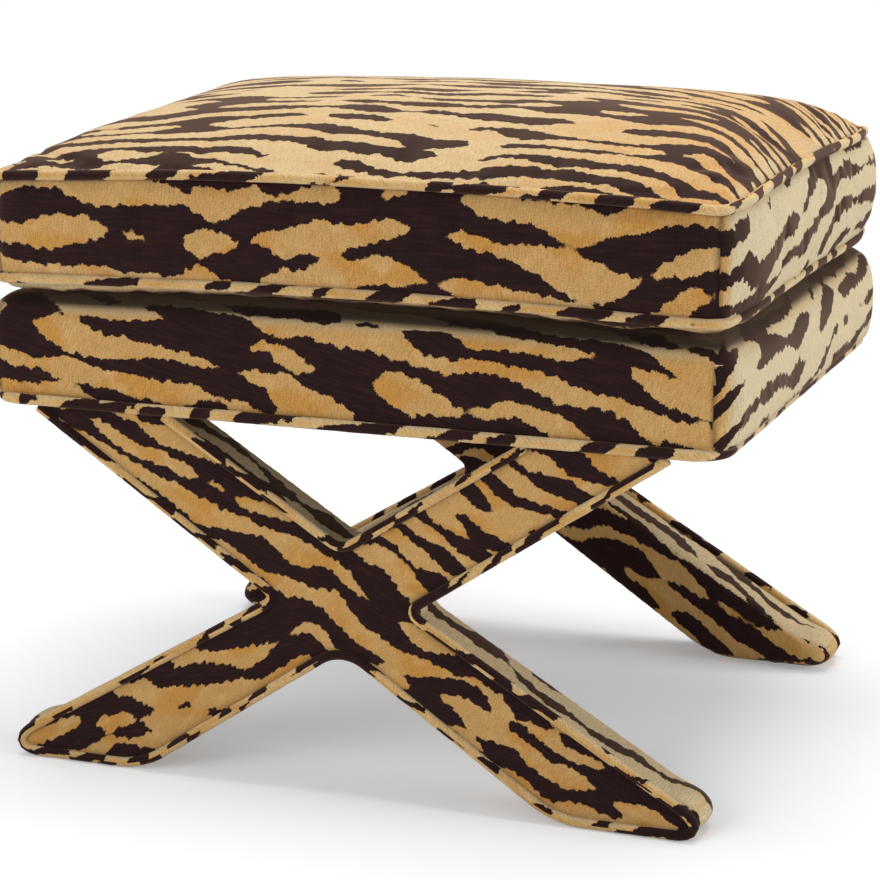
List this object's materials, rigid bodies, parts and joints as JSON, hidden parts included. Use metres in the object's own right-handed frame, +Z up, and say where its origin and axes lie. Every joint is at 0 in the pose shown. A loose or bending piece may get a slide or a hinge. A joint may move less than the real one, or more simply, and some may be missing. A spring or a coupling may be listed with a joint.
{
  "type": "x frame stool",
  "caption": "Upholstered bench stool: a loose, piped, crowned box cushion on a padded deck, carried by flat crossed frames front and back, all in tiger stripe velvet.",
  "frame": {"origin": "on the floor under the middle of the stool", "axes": "+Z up, the front X faces -Y, the long side of the seat runs along X"},
  "size_m": [0.612, 0.494, 0.5149],
  "materials": {
    "tiger_velvet": "cut velvet with an irregular gold and dark brown tiger stripe",
    "welt_velvet": "the same velvet wrapped round piping cord",
    "foam": "open-cell upholstery foam",
    "fibre": "white polyester fibre wadding",
    "hardwood": "planed hardwood",
    "plywood": "sanded plywood",
    "black_cloth": "black non-woven dust cloth",
    "zinc_steel": "bright zinc plate",
    "black_plastic": "black nylon"
  },
  "bodies": {
    "stool": {"deck_cover": "tiger_velvet", "deck_welt": "welt_velvet", "deck_pad": "foam", "deck_board": "plywood", "rail_front": "hardwood", "rail_back": "hardwood", "rail_left": "hardwood", "rail_right": "hardwood", "glue_block_front_left": "hardwood", "glue_block_front_right": "hardwood", "glue_block_back_left": "hardwood", "glue_block_back_right": "hardwood", "dust_cover": "black_cloth", "x_front_bar_falling": "hardwood", "x_front_bar_rising": "hardwood", "x_front_face_batting": "fibre", "x_front_back_batting": "fibre", "x_front_face_panel": "tiger_velvet", "x_front_back_panel": "tiger_velvet", "x_front_boxing_outer": "tiger_velvet", "x_front_boxing_inner": "tiger_velvet", "x_front_welt_outer": "welt_velvet", "x_front_welt_inner": "welt_velvet", "x_back_bar_falling": "hardwood", "x_back_bar_rising": "hardwood", "x_back_face_batting": "fibre", "x_back_back_batting": "fibre", "x_back_face_panel": "tiger_velvet", "x_back_back_panel": "tiger_velvet", "x_back_boxing_outer": "tiger_velvet", "x_back_boxing_inner": "tiger_velvet", "x_back_welt_outer": "welt_velvet", "x_back_welt_inner": "welt_velvet", "glide_front_left": "black_plastic", "bolt_front_left": "zinc_steel", "washer_front_left": "zinc_steel", "dowel_front_left": "hardwood", "glide_front_right": "black_plastic", "bolt_front_right": "zinc_steel", "washer_front_right": "zinc_steel", "dowel_front_right": "hardwood", "glide_back_left": "black_plastic", "bolt_back_left": "zinc_steel", "washer_back_left": "zinc_steel", "dowel_back_left": "hardwood", "glide_back_right": "black_plastic", "bolt_back_right": "zinc_steel", "washer_back_right": "zinc_steel", "dowel_back_right": "hardwood"},
    "cushion": {"cushion_core": "foam", "cushion_wrap": "fibre", "cushion_top_panel": "tiger_velvet", "cushion_bottom_panel": "tiger_velvet", "cushion_boxing_front": "tiger_velvet", "cushion_boxing_right": "tiger_velvet", "cushion_boxing_back": "tiger_velvet", "cushion_boxing_left": "tiger_velvet", "cushion_welt_top": "welt_velvet", "cushion_welt_bottom": "welt_velvet"}
  },
  "joints": [
    {"name": "cushion_lift", "type": "slide", "parent": "stool", "child": "cushion", "axis": [0, 0, 1], "range_m": [0, 0.12]}
  ]
}
